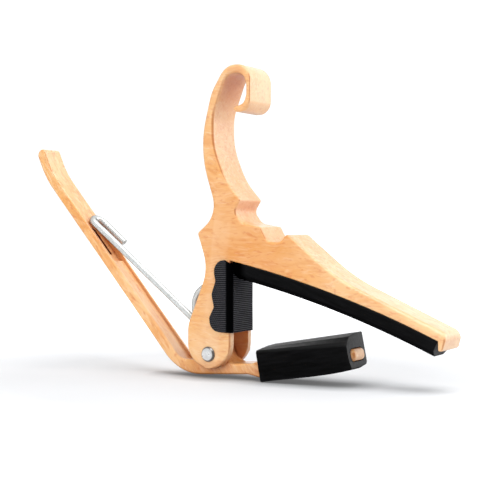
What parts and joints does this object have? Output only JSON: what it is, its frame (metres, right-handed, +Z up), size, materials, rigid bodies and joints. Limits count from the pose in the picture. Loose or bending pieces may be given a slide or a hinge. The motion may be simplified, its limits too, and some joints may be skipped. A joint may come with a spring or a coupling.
{
  "type": "guitar capo",
  "caption": "Spring-loaded guitar capo: squeezing the two handles opens a curved padded fretting arm and a booted lower arm, which clamp across a guitar's neck.",
  "frame": {"origin": "on the axis of the pivot rivet, half way between the two cheeks of the upper frame", "axes": "+X from the handles towards the tip of the fretting arm, +Z up towards the hook of the fixed handle, +Y across the width along the rivet"},
  "size_m": [0.1358, 0.0142, 0.089],
  "materials": {
    "wood_finish_casting": "gloss",
    "rivet_steel": "satin",
    "spring_steel": "satin",
    "black_rubber": "satin",
    "ribbed_rubber": "matte"
  },
  "bodies": {
    "frame_body": {"upper_frame": "wood_finish_casting", "pivot_rivet": "rivet_steel", "spring_coil": "spring_steel", "fretting_pad": "black_rubber", "neck_pad": "ribbed_rubber"},
    "lever_body": {"squeeze_lever": "wood_finish_casting", "arm_boot": "black_rubber"},
    "spring_leg_body": {"spring_leg": "spring_steel"}
  },
  "joints": [
    {"name": "lever_hinge", "type": "hinge", "parent": "frame_body", "child": "lever_body", "pos_m": [0, 0, 0], "axis": [0, 1, 0], "range_deg": [0, 40], "stiffness_Nm_per_rad": 0.03, "springref_deg": -21.77},
    {"name": "spring_leg_swing", "type": "hinge", "parent": "frame_body", "child": "spring_leg_body", "pos_m": [-0.00185, 0, 0.0131], "axis": [0, 1, 0], "range_deg": [0, 51]}
  ],
  "couplings": [
    {"joint": "spring_leg_swing", "follows": "lever_hinge", "ratio": 1.259}
  ]
}
